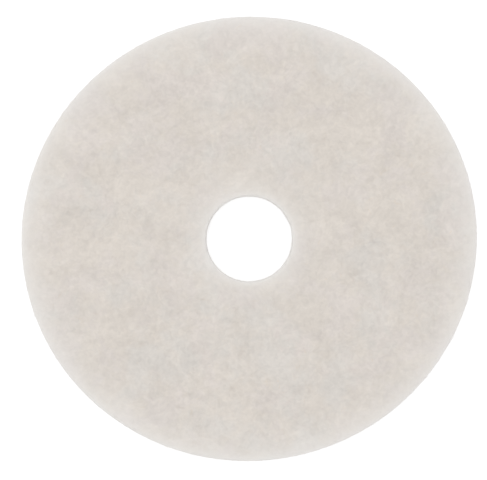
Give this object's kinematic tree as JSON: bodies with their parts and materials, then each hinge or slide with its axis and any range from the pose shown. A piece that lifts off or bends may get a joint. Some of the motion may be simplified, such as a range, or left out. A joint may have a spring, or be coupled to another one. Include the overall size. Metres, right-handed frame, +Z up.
{
  "type": "floor polishing pad",
  "caption": "Round, springy pad of bonded non-woven fibre with a centre hole, worn under a rotary floor machine to polish hard floors.",
  "frame": {"origin": "centre of the pad's outline and of its hole, in the plane of the floor face", "axes": "+Z up, out of the driver face; +X along the pad's longer diameter, which is the lengthwise direction of the web that it was cut from"},
  "size_m": [0.4374, 0.4262, 0.0254],
  "materials": {
    "bonded_fibre": "matte off-white web of fine crimped fibres bonded with resin, softly mottled"
  },
  "bodies": {
    "root": {"polishing_pad": "bonded_fibre"}
  },
  "joints": []
}
